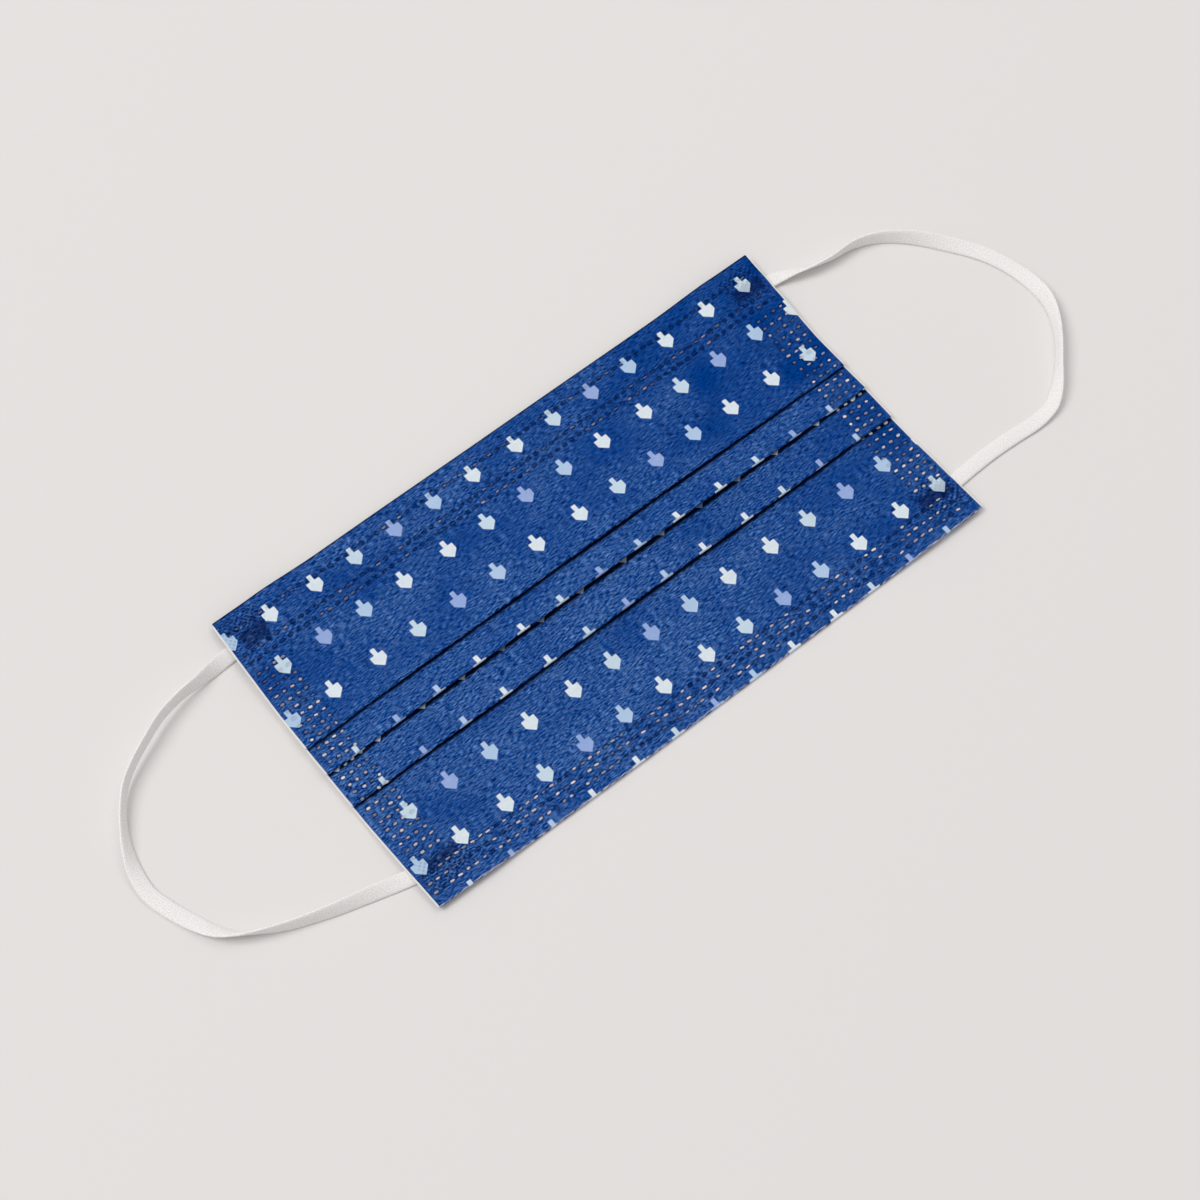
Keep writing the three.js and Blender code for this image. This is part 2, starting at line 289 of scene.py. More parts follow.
class Socket:
    """An output socket. Arithmetic on it adds Math nodes to its tree."""

    def __init__(self, tree, socket):
        self.tree = tree
        self.socket = socket

    def math(self, operation, *values):
        return self.tree.node("ShaderNodeMath", {"operation": operation}, dict(enumerate((self, *values))))

    def __add__(self, other):
        return self.math("ADD", other)

    def __radd__(self, other):
        return self.math("ADD", other)

    def __sub__(self, other):
        return self.math("SUBTRACT", other)

    def __rsub__(self, other):
        return self.tree.node("ShaderNodeMath", {"operation": "SUBTRACT"}, {0: other, 1: self})

    def __mul__(self, other):
        return self.math("MULTIPLY", other)

    def __rmul__(self, other):
        return self.math("MULTIPLY", other)

    def __truediv__(self, other):
        return self.math("DIVIDE", other)

    def __lt__(self, other):
        return self.math("LESS_THAN", other)

    def __gt__(self, other):
        return self.math("GREATER_THAN", other)

    def __abs__(self):
        return self.math("ABSOLUTE")

    def floor(self):
        return self.math("FLOOR")

    def modulo(self, other):
        return self.math("FLOORED_MODULO", other)

    def least(self, other):
        return self.math("MINIMUM", other)

    def most(self, other):
        return self.math("MAXIMUM", other)

    def ramp(self, low, high):
        """0 below low and 1 above high, with a smooth step between them. low may be the larger one."""
        return self.tree.node(
            "ShaderNodeMapRange",
            {"interpolation_type": "SMOOTHSTEP"},
            {"Value": self, "From Min": low, "From Max": high},
        )


class Tree:
    """A node tree with one method for every kind of node."""

    def __init__(self, tree):
        self.tree = tree
        tree.nodes.clear()

    def node(self, kind, settings=None, inputs=None, output=0):
        """Adds a node: its settings first, then the values or links of its sockets."""
        node = self.tree.nodes.new(kind)
        for name, value in (settings or {}).items():
            if name == "stops":
                set_stops(node.color_ramp, value)
            else:
                setattr(node, name, value)
        for name, value in (inputs or {}).items():
            if isinstance(value, Socket):
                self.tree.links.new(value.socket, node.inputs[name])
            else:
                node.inputs[name].default_value = value
        return Socket(self, node.outputs[output]) if len(node.outputs) else node

    def mix(self, factor, first, second):
        """A colour between two others."""
        return self.node("ShaderNodeMix", {"data_type": "RGBA"}, {0: factor, 6: first, 7: second}, output=2)

    def value(self, name):
        """One of the tree's own inputs."""
        entry = self.tree.nodes.get("Group Input") or self.tree.nodes.new("NodeGroupInput")
        return Socket(self, entry.outputs[name])

    def split(self, vector):
        """The three numbers of a vector."""
        node = self.node("ShaderNodeSeparateXYZ", None, {0: vector})
        return tuple(Socket(self, output) for output in node.socket.node.outputs)

    def noise(self, vector, scale, detail=2.0, roughness=0.5):
        """Noise from 0 to 1."""
        values = {"Vector": vector, "Scale": scale, "Detail": detail, "Roughness": roughness}
        return self.node("ShaderNodeTexNoise", {"noise_dimensions": "3D"}, values)

    def scaled(self, vector, scale, angle=0.0):
        """A vector turned about Z, then scaled."""
        turn = {"Vector": vector, "Rotation": (0, 0, angle)}
        turned = self.node("ShaderNodeMapping", {"vector_type": "POINT"}, turn)
        return self.node("ShaderNodeVectorMath", {"operation": "MULTIPLY"}, {0: turned, 1: scale})


def set_stops(ramp, stops):
    """Gives a colour ramp its stops. Each one is a place and a colour."""
    ramp.interpolation = "CONSTANT"
    while len(ramp.elements) < len(stops):
        ramp.elements.new(1.0)
    for element, (place, colour) in zip(ramp.elements, stops):
        element.position = place
        element.color = colour


def srgb(red, green, blue):
    """A colour given in 0 to 255, as the shader wants it."""
    channels = [value / 255 for value in (red, green, blue)]
    linear = [c / 12.92 if c <= 0.04045 else ((c + 0.055) / 1.055) ** 2.4 for c in channels]
    return (*linear, 1)


def new_material(name):
    """A material with its tree emptied, and the tree."""
    material = bpy.data.materials.new(name)
    material.use_nodes = True
    return material, Tree(material.node_tree)


def plain_surface(tree, colour, roughness, **more):
    """A surface shader."""
    values = {"Base Color": colour, "Roughness": roughness}
    values.update((name.replace("_", " "), value) for name, value in more.items())
    return tree.node("ShaderNodeBsdfPrincipled", None, values)


def finish_material(tree, surface):
    """Links a shader to the material's output."""
    tree.node("ShaderNodeOutputMaterial", None, {"Surface": surface})


# Cloth section

def smooth(value, low, high):
    """0 below low, 1 above high, a smooth step between them."""
    share = np.clip((value - low) / (high - low), 0, 1)
    return share * share * (3 - 2 * share)


def stretch_steps(length):
    """How many steps a stretch of cloth of that usual length is cut into."""
    return max(2, round(length / CLOTH_STEP))


def half_turn(start, end, side):
    """Points inside a half turn from one layer to the next one. side is +1 where it bulges to the chin."""
    start, end = np.array(start), np.array(end)
    middle = (start + end) / 2
    arm = start - middle
    reach = np.array([side * abs(arm[1]), -side * np.sign(arm[1]) * arm[0]])
    angles = np.linspace(0, math.pi, TURN_STEPS + 1)[1:-1, None]
    return list(middle + arm * np.cos(angles) + reach * np.sin(angles))


def set_back(layer, d, distance):
    """How far a half turn's two ends are set apart, so that it leaves both layers squarely."""
    reach = FOLD_RADIUS / 2
    slope = (layer(d + reach) - layer(d - reach)) / (2 * reach)
    return distance * slope / (1 + slope * slope)


def pleat_layers(height, loft):
    """Height of the laminate's middle, layer by layer. Each strip lies on the pleat below it."""
    lips = [pleat["lip"] * MASK_HEIGHT for pleat in PLEATS]
    starts = [0.0, *lips[:-1]]
    folds = [lip - pleat["depth"] * (lip - start) for pleat, lip, start in zip(PLEATS, lips, starts)]
    hem_start = height - CHIN_HEM

    def chin(d):
        share = min(max((d - hem_start + HEM_EASE) / HEM_EASE, 0), 1)
        return BASE + (CHIN_LEVEL - BASE) * share

    strip = chin
    pleats = []
    for k in reversed(range(len(PLEATS))):
        under = strip
        start, level = (folds[k - 1], BASE) if k else (NOSE_HEM, NOSE_LEVEL)
        back, strip = pleat_functions(under, folds[k], lips[k], PLEATS[k], start, level, loft)
        pleats.insert(0, {"fold": folds[k], "lip": lips[k], "strip": strip, "back": back, "under": under})
    return pleats


def pleat_functions(under, fold, lip, pleat, start, level, loft):
    """The back layer and the strip of one pleat, which lie on the layer under it."""
    opening = pleat["opening"] * PLEAT_LOFT * loft
    spring = pleat["spring"] * PLEAT_LOFT * loft

    def back(d):
        return under(d) + LAYER_PITCH + opening * (d - fold) / (lip - fold)

    def strip(d):
        crown = CROWN * loft * math.sin(math.pi * min(max((d - start) / (lip - start), 0), 1)) ** 2
        if d >= fold:
            return back(d) + LAYER_PITCH + crown + spring * (lip - d) / (lip - fold)
        share = min(max((d - start) / (fold - start), 0), 1)
        return level + (back(fold) + LAYER_PITCH + spring - level) * share + crown

    return back, strip


def middle_line(height, loft):
    """Middle line of the laminate from the nose edge to the chin edge: distance and height."""
    pleats = pleat_layers(height, loft)
    line = [np.array([hem_turn(NOSE_LEVEL), NOSE_LEVEL])]

    def follow(layer, start, end, usual):
        line.extend(np.array([d, layer(d)]) for d in np.linspace(start, end, stretch_steps(usual) + 1)[1:])

    follow(lambda d: NOSE_LEVEL, line[0][0], NOSE_HEM, NOSE_HEM)
    for pleat in pleats:
        fold, lip, strip, back, under = (pleat[key] for key in ("fold", "lip", "strip", "back", "under"))
        lip_start = lip - FOLD_RADIUS
        lip_end = lip_start + set_back(back, lip_start, LAYER_PITCH)
        fold_end = fold + FOLD_RADIUS
        fold_start = fold_end - set_back(under, fold_end, LAYER_PITCH)
        last = line[-1][0]
        follow(strip, last, fold, fold - pleats[0]["fold"] + CLOTH_STEP * 4)
        follow(strip, fold, lip_start - TURN_EASE, lip - fold)
        line.append(np.array([lip_start, strip(lip_start)]))
        line.extend(half_turn([lip_start, strip(lip_start)], [lip_end, back(lip_end)], 1))
        line.append(np.array([lip_end, back(lip_end)]))
        follow(back, lip_end, fold_start, lip - fold)
        line.extend(half_turn([fold_start, back(fold_start)], [fold_end, under(fold_end)], -1))
        line.append(np.array([fold_end, under(fold_end)]))
    chin = pleats[-1]["under"]
    hem_start = height - CHIN_HEM
    follow(chin, line[-1][0], pleats[-1]["lip"], pleats[-1]["lip"] - pleats[-1]["fold"])
    follow(chin, pleats[-1]["lip"], hem_start - HEM_EASE, MASK_HEIGHT - CHIN_HEM - pleats[-1]["lip"])
    follow(chin, hem_start - HEM_EASE, hem_start, HEM_EASE)
    follow(chin, hem_start, height - hem_turn(CHIN_LEVEL), CHIN_HEM)
    return np.array(line)


def hem_turn(level):
    """Distance from a hemmed edge to the point where the printed ply leaves its turn."""
    return (level + PLY_OFFSET) / 2 + PLY / 4


def offset_line(line, distance):
    """A line at a set distance from another one, on its printed side where the distance is positive."""
    runs = np.diff(line, axis=0)
    normals = np.stack([-runs[:, 1], runs[:, 0]], axis=1) / np.linalg.norm(runs, axis=1)[:, None]
    before = np.vstack([normals[:1], normals])
    after = np.vstack([normals, normals[-1:]])
    scale = distance / (1 + (before * after).sum(axis=1))
    return line + (before + after) * scale[:, None]


def outer_line(height, loft):
    """The printed ply's line, with both hems turned to the back."""
    front = offset_line(middle_line(height, loft), PLY_OFFSET)
    level = PLY / 2
    nose_back = np.array([front[0][0], level])
    chin_back = np.array([front[-1][0], level])
    nose_steps = stretch_steps(NOSE_HEM) + 1
    chin_steps = stretch_steps(CHIN_HEM) + 1
    nose_hem = [np.array([d, level]) for d in np.linspace(NOSE_HEM, nose_back[0], nose_steps)]
    chin_hem = [np.array([d, level]) for d in np.linspace(chin_back[0], height - CHIN_HEM, chin_steps)]
    turn_in = half_turn(nose_back, front[0], -1)
    turn_out = half_turn(front[-1], chin_back, 1)
    return np.array([*nose_hem, *turn_in, *front, *turn_out, *chin_hem])


def inner_line(height, loft):
    """The inner ply's line, which starts and ends inside the hems."""
    line = offset_line(middle_line(height, loft), -PLY_OFFSET)
    line[0][0] += PLY_GAP
    line[-1][0] -= PLY_GAP
    return line


def height_at(along):
    """Height of the laid mask at a share of its half length."""
    return MASK_HEIGHT + CHIN_BELLY * (1 - along * along) + CHIN_TILT * (1 + along) / 2


def drift(d, height):
    """How far the cloth has slid along X at a distance from the nose edge."""
    from_middle = 2 * d / height - 1
    return SIDE_DRIFT * (0.5 - (1 - from_middle**2))


def gentle_waves(x, y):
    """Long low waves of the whole cloth, from 0 to 1."""
    long_wave = np.sin(x * LONG_WAVE_X[0] + LONG_WAVE_X[1]) * np.cos(y * LONG_WAVE_Y[0] + LONG_WAVE_Y[1])
    cross_wave = np.sin(x * CROSS_WAVE[0] + y * CROSS_WAVE[1] + CROSS_WAVE[2])
    return 0.5 + (long_wave + CROSS_WAVE_SHARE * cross_wave) / (2 + 2 * CROSS_WAVE_SHARE)


def place_line(along, line, height):
    """Points of one cross section's line, in the frame."""
    d, level = line.T
    across = abs(along)
    x = along * HALF_LENGTH + drift(d, height)
    y = TOP_Y - d
    press = 1 - (1 - PRESSED) * smooth(across, PRESS_START, PRESS_END)
    sag = SAG * (1 - smooth(np.abs(y), SAG_REACH * 0.55, SAG_REACH))
    rise = (END_RISE - sag) * smooth(across, RISE_START, LOFT_END)
    wave = WAVE * gentle_waves(x, y) * (1 - smooth(across, RISE_START, PRESS_END))
    return np.stack([x, y, level * press + rise + wave], axis=1)


def cloth_length(line, zero_index):
    """Length of cloth along a line from one of its points, as if its folds were pressed flat."""
    runs = np.abs(np.diff(line[:, 0]))
    length = np.concatenate([[0], np.cumsum(runs)])
    return length - length[zero_index]


def ply_mesh(name, line_of, reach, zero_index, puff):
    """One ply as a closed mesh, lofted through cross sections, with a map of the cloth in millimetres."""
    places = np.linspace(-1, 1, CROSS_SECTIONS) * reach / HALF_LENGTH
    rings, maps = [], []
    for along in places:
        height = height_at(along)
        loft = max(0.0, 1 - (abs(along) / LOFT_END) ** LOFT_POWER) ** LOFT_EASE
        line = line_of(height, loft)
        length = cloth_length(line, zero_index)
        front, back = offset_line(line, PLY / 2), offset_line(line, -PLY / 2)[::-1]
        front[:, 1] += puff(length)
        outline = np.vstack([front, back])
        rings.append(place_line(along, outline, height))
        lengths = np.concatenate([length, length[::-1]])
        maps.append(np.stack([rings[-1][:, 0], lengths], axis=1) / MM)
    return loft_mesh(name, np.array(rings), np.array(maps))


def side_faces(count, size):
    """Faces between closed rings of equal size."""
    around = np.arange(size)
    beyond = (around + 1) % size
    starts = np.arange(count - 1)[:, None] * size
    ahead = starts + size
    corners = [starts + around, starts + beyond, ahead + beyond, ahead + around]
    return np.stack(corners, axis=2).reshape(-1, 4)


def store_map(mesh, maps):
    """Keeps each point's place on the cloth as a map of the mesh."""
    layer = mesh.uv_layers.new(name="Cloth")
    corner = np.empty(len(mesh.loops), np.int32)
    mesh.loops.foreach_get("vertex_index", corner)
    layer.uv.foreach_set("vector", maps.reshape(-1, 2)[corner].astype(np.float32).ravel())


def loft_mesh(name, rings, maps):
    """Closed mesh through rings of equal size. Its end faces and its rims take the second material."""
    count, size = rings.shape[:2]
    half = size // 2
    i = np.arange(half - 1)
    first = np.stack([i, size - 1 - i, size - 2 - i, i + 1], axis=1)
    last = (count - 1) * size + np.stack([i, i + 1, size - 2 - i, size - 1 - i], axis=1)
    faces = np.vstack([side_faces(count, size), first, last])
    rim = np.zeros(len(faces), bool)
    rim[: len(faces) - 2 * (half - 1)].reshape(count - 1, size)[:, [half - 1, size - 1]] = True
    rim[len(faces) - 2 * (half - 1) :] = True
    mesh = bpy.data.meshes.new(name)
    mesh.from_pydata(rings.reshape(-1, 3), [], faces.tolist())
    mesh.polygons.foreach_set("material_index", rim.astype(np.int32))
    store_map(mesh, maps)
    mesh.shade_smooth()
    mesh.set_sharp_from_angle(angle=CLOTH_SHARP)
    mesh.validate()
    return mesh


def add_object(name, mesh, *materials):
    """Links a mesh to the scene with its materials."""
    piece = bpy.data.objects.new(name, mesh)
    bpy.context.scene.collection.objects.link(piece)
    for material in materials:
        mesh.materials.append(material)
    return piece


# Elastic

def through(points, share):
    """Places on a smooth curve through points, at shares of its parameter from 0 to 1."""
    points = np.array(points, float)
    padded = np.vstack([2 * points[0] - points[1], points, 2 * points[-1] - points[-2]])
    at = np.clip(np.asarray(share) * (len(points) - 1), 0, len(points) - 1 - 1e-9)
    k = at.astype(int)
    t = (at - k)[:, None]
    a, b, c, d = (padded[k + step] for step in range(4))
    return 0.5 * (2 * b + (c - a) * t + (2 * a - 5 * b + 4 * c - d) * t**2 + (3 * b - a - 3 * c + d) * t**3)


def band_outline():
    """Outline of the flat elastic: across its width and through its thickness."""
    angles = np.arange(BAND_SIDES) * 2 * math.pi / BAND_SIDES
    corner = 2 / BAND_ROUNDING
    across = np.sign(np.cos(angles)) * np.abs(np.cos(angles)) ** corner * BAND_WIDTH / 2
    up = np.sign(np.sin(angles)) * np.abs(np.sin(angles)) ** corner * BAND_THICKNESS / 2
    return np.stack([across, up], axis=1)


def band_rings(route):
    """Rings of the band along its route, their centres, and the length of band up to each of them."""
    points = through(route, np.linspace(0, 1, BAND_SECTIONS))
    points[:, 3] = np.maximum(points[:, 3], 0)
    tangents = np.gradient(points[:, :2], axis=0)
    tangents /= np.linalg.norm(tangents, axis=1)[:, None]
    outline = band_outline()
    rings = []
    for (x, y, tilt, lift), (tx, ty) in zip(points, tangents):
        angle = math.radians(tilt)
        out = outline[:, 0] * math.cos(angle) - outline[:, 1] * math.sin(angle)
        up = outline[:, 0] * math.sin(angle) + outline[:, 1] * math.cos(angle)
        level = up - up.min() + lift + FLOOR_CLEARANCE
        rings.append(np.stack([x - ty * out, y + tx * out, level], axis=1))
    rings = np.array(rings)
    centres = rings.mean(axis=1)
    runs = np.linalg.norm(np.diff(centres, axis=0), axis=1)
    return rings, centres, np.concatenate([[0], np.cumsum(runs)])


def band_mesh(name, rings, lengths):
    """The band as a closed tube with a map in millimetres: across it and along it."""
    count, size = rings.shape[:2]
    faces = side_faces(count, size).tolist()
    faces.append(list(reversed(range(size))))
    faces.append(list(range((count - 1) * size, count * size)))
    mesh = bpy.data.meshes.new(name)
    mesh.from_pydata(rings.reshape(-1, 3), [], faces)
    across = np.tile(band_outline()[:, 0] / MM, (count, 1))
    along = np.tile(lengths[:, None] / MM, (1, size))
    store_map(mesh, np.stack([across, along], axis=2))
    mesh.shade_smooth()
    mesh.set_sharp_from_angle(angle=BAND_SHARP)
    return mesh


# Weld dashes

def dash_object(name, size):
    """One weld dash: a shallow dish with a rim and a collar that goes into the cloth."""
    rings = (
        (-DASH_RIM, DASH_DEPTH * 0.12, 1.0),
        (0.0, DASH_DEPTH * 0.2, 0.75),
        (DASH_RIM, DASH_DEPTH, 0.1),
        (DASH_COLLAR, -DASH_DEPTH * 0.3, 0.0),
    )
    angles = np.arange(DASH_SIDES) * 2 * math.pi / DASH_SIDES
    points, tones, faces = [], [], []
    for grown, level, tone in rings:
        for angle in angles:
            half_length, half_width = size[0] / 2 + grown, size[1] / 2 + grown
            along = math.copysign(abs(math.cos(angle)) ** DASH_CORNER, math.cos(angle)) * half_length
            across = math.copysign(abs(math.sin(angle)) ** DASH_CORNER, math.sin(angle)) * half_width
            points.append((along, across, level))
            tones.append(tone)
    for ring in range(len(rings) - 1):
        for i in range(DASH_SIDES):
            beyond = (i + 1) % DASH_SIDES
            inner, outer = ring * DASH_SIDES, (ring + 1) * DASH_SIDES
            faces.append((inner + i, outer + i, outer + beyond, inner + beyond))
    faces.append(tuple(range(DASH_SIDES)))
    mesh = bpy.data.meshes.new(name)
    mesh.from_pydata(points, [], faces)
    mesh.attributes.new("tone", "FLOAT", "POINT").data.foreach_set("value", tones)
    spots = [value / MM for point in points for value in (point[0], -point[1], 0)]
    mesh.attributes.new("spot", "FLOAT_VECTOR", "POINT").data.foreach_set("vector", spots)
    mesh.shade_smooth()
    return add_object(name, mesh)


def random_vector(tree, least, most, shift):
    """A random vector for each point, with a seed of its own."""
    values = {0: least, 1: most, "Seed": tree.value("Seed") + shift}
    return tree.node("FunctionNodeRandomValue", {"data_type": "FLOAT_VECTOR"}, values)


def kept_vector(tree, name):
    """A vector that the geometry keeps under a name."""
    return tree.node("GeometryNodeInputNamedAttribute", {"data_type": "FLOAT_VECTOR"}, {"Name": name})


def weld_tree():
    """Geometry nodes that set a row of dashes on a piece of cloth from each point of a mesh."""
    group = bpy.data.node_groups.new("weld_rows", "GeometryNodeTree")
    sockets = {
        "Row Starts": "Geometry",
        "Cloth": "Object",
        "Dash": "Object",
        "Count": "Int",
        "Step": "Vector",
        "Bow": "Float",
        "Tilt": "Float",
        "Slide": "Float",
        "Least Glow": "Float",
        "Most Glow": "Float",
        "Seed": "Int",
        "Finish": "Material",
    }
    for name, kind in sockets.items():
        group.interface.new_socket(name=name, in_out="INPUT", socket_type="NodeSocket" + kind)
    group.interface.new_socket(name="Welds", in_out="OUTPUT", socket_type="NodeSocketGeometry")
    tree = Tree(group)
    steps = {"Count": tree.value("Count"), "Offset": tree.value("Step")}
    row = tree.node("GeometryNodeMeshLine", {"mode": "OFFSET"}, steps)
    starts = {"Points": tree.value("Row Starts"), "Instance": row}
    rows = tree.node("GeometryNodeInstanceOnPoints", None, starts)
    rows = tree.node("GeometryNodeRealizeInstances", None, {"Geometry": rows})
    x, y, _ = tree.split(tree.node("GeometryNodeInputPosition"))
    from_side = 1 - x * x * (1 / HALF_LENGTH**2)
    from_hem = 1 - y * y * (1 / TOP_Y**2)
    moved_x = x - tree.value("Slide") * (from_hem - 0.5)
    moved_y = y - tree.value("Bow") * from_side - tree.value("Tilt") * (0.5 + x * (0.5 / HALF_LENGTH))
    above = tree.node("ShaderNodeCombineXYZ", None, {0: moved_x, 1: moved_y, 2: RAY_HEIGHT})
    jitter = random_vector(tree, (-DASH_JITTER, -DASH_JITTER, 0), (DASH_JITTER, DASH_JITTER, 0), 11)
    above = tree.node("ShaderNodeVectorMath", {"operation": "ADD"}, {0: above, 1: jitter})
    rows = tree.node("GeometryNodeSetPosition", None, {"Geometry": rows, "Position": above})
    cloth = tree.node("GeometryNodeObjectInfo", None, {"Object": tree.value("Cloth")}, output="Geometry")
    place = kept_vector(tree, "Cloth")
    ray = {
        "Target Geometry": cloth,
        "Attribute": place,
        "Ray Direction": (0, 0, -1),
        "Ray Length": 2 * RAY_HEIGHT,
    }
    hit = tree.node("GeometryNodeRaycast", {"data_type": "FLOAT_VECTOR"}, ray, output="Hit Position")
    normal = Socket(tree, hit.socket.node.outputs["Hit Normal"])
    found = Socket(tree, hit.socket.node.outputs["Attribute"])
    for name, value in (("cloth_normal", normal), ("cloth_place", found)):
        kept = {"Geometry": rows, "Name": name, "Value": value}
        rows = tree.node("GeometryNodeStoreNamedAttribute", {"data_type": "FLOAT_VECTOR"}, kept)
    rows = tree.node("GeometryNodeSetPosition", None, {"Geometry": rows, "Position": hit})
    normal = kept_vector(tree, "cloth_normal")
    steep = tree.split(normal)[2] < LEAST_FACING
    rows = tree.node("GeometryNodeDeleteGeometry", None, {"Geometry": rows, "Selection": steep})
    lean = random_vector(tree, (1, -DASH_LEAN, 0), (1, DASH_LEAN, 0), 5)
    axes = {"Primary Axis": normal, "Secondary Axis": lean}
    turn = tree.node("FunctionNodeAxesToRotation", {"primary_axis": "Z", "secondary_axis": "X"}, axes)
    size = random_vector(tree, DASH_LEAST, DASH_MOST, 0)
    dash = tree.node("GeometryNodeObjectInfo", None, {"Object": tree.value("Dash")}, output="Geometry")
    spread = {"Points": rows, "Instance": dash, "Rotation": turn, "Scale": size}
    welds = tree.node("GeometryNodeInstanceOnPoints", None, spread)
    glow = tree.node(
        "FunctionNodeRandomValue",
        {"data_type": "FLOAT"},
        {2: tree.value("Least Glow"), 3: tree.value("Most Glow"), "Seed": tree.value("Seed") + 7},
        output=1,
    )
    lit = {"Geometry": welds, "Name": "glow", "Value": glow}
    welds = tree.node("GeometryNodeStoreNamedAttribute", {"data_type": "FLOAT", "domain": "INSTANCE"}, lit)
    welds = tree.node("GeometryNodeRealizeInstances", None, {"Geometry": welds})
    spots = {0: kept_vector(tree, "spot"), 1: kept_vector(tree, "cloth_place")}
    mapped = tree.node("ShaderNodeVectorMath", {"operation": "ADD"}, spots)
    kept = {"Geometry": welds, "Name": "Cloth", "Value": mapped}
    settings = {"data_type": "FLOAT2", "domain": "CORNER"}
    welds = tree.node("GeometryNodeStoreNamedAttribute", settings, kept)
    finish = {"Geometry": welds, "Material": tree.value("Finish")}
    welds = tree.node("GeometryNodeSetMaterial", None, finish)
    tree.node("NodeGroupOutput", None, {"Welds": welds})
    return group


def run_tree(name, points, group, values):
    """A plain mesh piece made by a tree from a few points."""
    mesh = bpy.data.meshes.new(name + "_points")
    mesh.from_pydata(points, [], [])
    host = add_object(name + "_host", mesh)
    modifier = host.modifiers.new("rows", "NODES")
    modifier.node_group = group
    for item in group.interface.items_tree:
        if item.in_out == "INPUT" and item.name in values:
            modifier[item.identifier] = values[item.name]
    scene_graph = bpy.context.evaluated_depsgraph_get()
    made = bpy.data.meshes.new_from_object(host.evaluated_get(scene_graph), depsgraph=scene_graph)
    bpy.data.objects.remove(host)
    piece = add_object(name, made)
    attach(piece, "root")
    return piece


def build_welds(cloth, finish):
    """All rows and columns of weld dashes on the printed ply."""
    group = weld_tree()
    hem_dash = dash_object("hem_dash", HEM_DASH)
    side_dash = dash_object("side_dash", SIDE_DASH)
    hem_count = round((MASK_LENGTH - HEM_ROW_MARGIN) / HEM_PITCH)
    hem_start = -hem_count // 2 * HEM_PITCH
    shared = {"Cloth": cloth, "Finish": finish, "Slide": 0.0, "Bow": 0.0, "Tilt": 0.0}
    hem = {**shared, "Dash": hem_dash, "Count": hem_count, "Step": (HEM_PITCH, 0, 0)}
    side = {**shared, "Dash": side_dash, "Count": SIDE_COUNT, "Slide": SIDE_DRIFT}
    chin_tilt = CHIN_TILT + CHIN_ROWS_LIFT[0] - CHIN_ROWS_LIFT[1]
    chin_start = CHIN_Y + CHIN_ROWS_LIFT[0]
    rows = {
        "nose_welds": ([(hem_start, TOP_Y - d, 0) for d in NOSE_WELDS], hem),
        "chin_welds": (
            [(hem_start, chin_start + d, 0) for d in CHIN_WELDS],
            {**hem, "Bow": CHIN_BELLY, "Tilt": chin_tilt},
        ),
        "left_welds": ([(x, LEFT_START, 0) for x in LEFT_WELDS], {**side, "Step": (*LEFT_STEP, 0)}),
        "right_welds": ([(x, SIDE_START, 0) for x in RIGHT_WELDS], {**side, "Step": (0, SIDE_PITCH, 0)}),
    }
    welds = []
    for name, (starts, values) in rows.items():
        least, most = GLOWS[name]
        values = {**values, "Least Glow": least, "Most Glow": most, "Seed": SEEDS[name]}
        welds.append(run_tree(name, starts, group, values))
    bpy.data.objects.remove(hem_dash)
    bpy.data.objects.remove(side_dash)
    return welds


# Finishes

NAVY = srgb(1, 65, 146)
NAVY_DEEP = srgb(1, 24, 82)
NAVY_PRESSED_AND_SHADED = srgb(1, 14, 68)
FIBRE_GLINT_BLUE = srgb(106, 150, 212)
FIBRE_GLINT_PALE = srgb(196, 210, 228)
FILM_CREAM = srgb(232, 227, 236)
PAINTED_SHADE_BLACK = srgb(1, 5, 22)
MOTIF_COLOURS = (
    srgb(152, 176, 228),
    srgb(182, 208, 238),
    srgb(230, 240, 246),
    srgb(230, 240, 246),
    srgb(206, 226, 240),
    srgb(152, 176, 228),
)
CLOTH_WHITE = srgb(240, 238, 236)
CLOTH_SHADE = srgb(226, 224, 222)
WIRE_WHITE = srgb(240, 240, 238)
WIRE_SHADE = srgb(228, 228, 226)
ELASTIC_WHITE = srgb(253, 251, 250)
ELASTIC_SHADE = srgb(226, 222, 220)

# Fibres that show. Columns: length and width of the streaks in millimetres, and their angle.
FIBRES = ((1.8, 0.16, 0.03), (0.95, 0.16, -0.3), (0.6, 0.16, 0.55))
WHITE_FIBRES = ((2.4, 0.28, 0.12), (1.6, 0.22, -0.3))

# How strongly the pale fibre streaks show, as painted sheen over the fibres' own grain: everywhere a
# little, in clouds, more to the left of the middle and below the first strip. Places are in millimetres.
SHEEN_LEAST = 0.22
SHEEN_CLOUDS = 1.6
SHEEN_LEFT = (75, 0)
SHEEN_LEFT_SHARE = 0.36
SHEEN_LOW = (12, 4)
SHEEN_LOW_SHARE = 0.25

# Lines along the edges and in the creases, in millimetres: painted shade along the nose edge, a pale line
# along the chin edge, and how unevenly the painted crease shade runs
NOSE_SHADE_LINE = (0.75, 0.4)
CHIN_PALE_LINE = (0.5, 0.15)
CREASE_SLACK = 1.3
FILM_FADE = (8, 30)  # how the film in the dashes gets duller to the nose


def cloth_map(tree):
    """The cloth's own map, in millimetres, as a vector and as its two numbers."""
    vector = tree.node("ShaderNodeUVMap", {"uv_map": "Cloth"})
    across, down, _ = tree.split(vector)
    return vector, across, down


